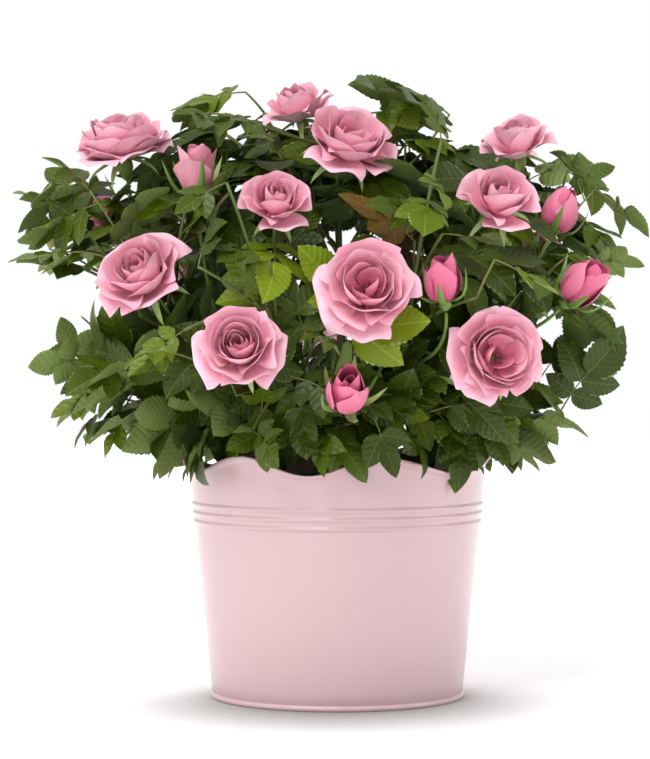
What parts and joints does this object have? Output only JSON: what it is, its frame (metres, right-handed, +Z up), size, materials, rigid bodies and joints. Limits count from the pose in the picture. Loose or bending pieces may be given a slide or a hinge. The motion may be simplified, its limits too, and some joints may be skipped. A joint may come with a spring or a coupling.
{
  "type": "rose bush",
  "caption": "Small rose bush with pink blooms and buds over dark green leaves, growing in a round tapered pink metal pot with a waved rim.",
  "frame": {"origin": "centre of the pot's flat underside", "axes": "+Z up, -Y the front of the plant, +X to the right seen from the front"},
  "size_m": [0.3602, 0.3124, 0.3543],
  "materials": {
    "pot_paint": "glossy pale pink powder coat",
    "black_plastic": "matt black thin moulded plastic",
    "soil": "moist crumbly peat",
    "bark": "thin brown-green bark",
    "green_wood": "smooth green canes",
    "leaf": "glossy dark upper side, paler matt underside",
    "petal": "velvety pink, deeper towards the heart"
  },
  "bodies": {
    "root": {"pot": "pot_paint", "nursery_pot": "black_plastic", "potting_soil": "soil", "main_stem": "bark", "bough_1": "green_wood", "bough_2": "green_wood", "bough_3": "green_wood", "bough_4": "green_wood", "bough_5": "green_wood", "bough_6": "green_wood", "bough_7": "green_wood", "bough_8": "green_wood", "bough_9": "green_wood", "leaf_mass_1": "leaf", "leaf_mass_2": "leaf", "leaf_mass_3": "leaf", "leaf_mass_4": "leaf", "leaf_mass_5": "leaf", "leaf_mass_6": "leaf", "leaf_mass_7": "leaf", "leaf_mass_8": "leaf", "leaf_mass_9": "leaf", "rose_1": "petal", "rose_2": "petal", "rose_3": "petal", "rose_4": "petal", "rose_5": "petal", "rose_6": "petal", "rose_7": "petal", "rose_8": "petal", "rose_9": "petal", "rose_10": "petal", "rose_11": "petal", "rose_12": "petal", "rose_13": "petal", "rose_14": "petal", "rose_15": "petal", "rose_16": "petal", "bud_1": "petal", "bud_2": "petal", "bud_3": "petal", "bud_4": "petal", "bud_5": "petal", "bud_6": "petal", "bud_7": "petal", "bud_8": "petal"}
  },
  "joints": []
}
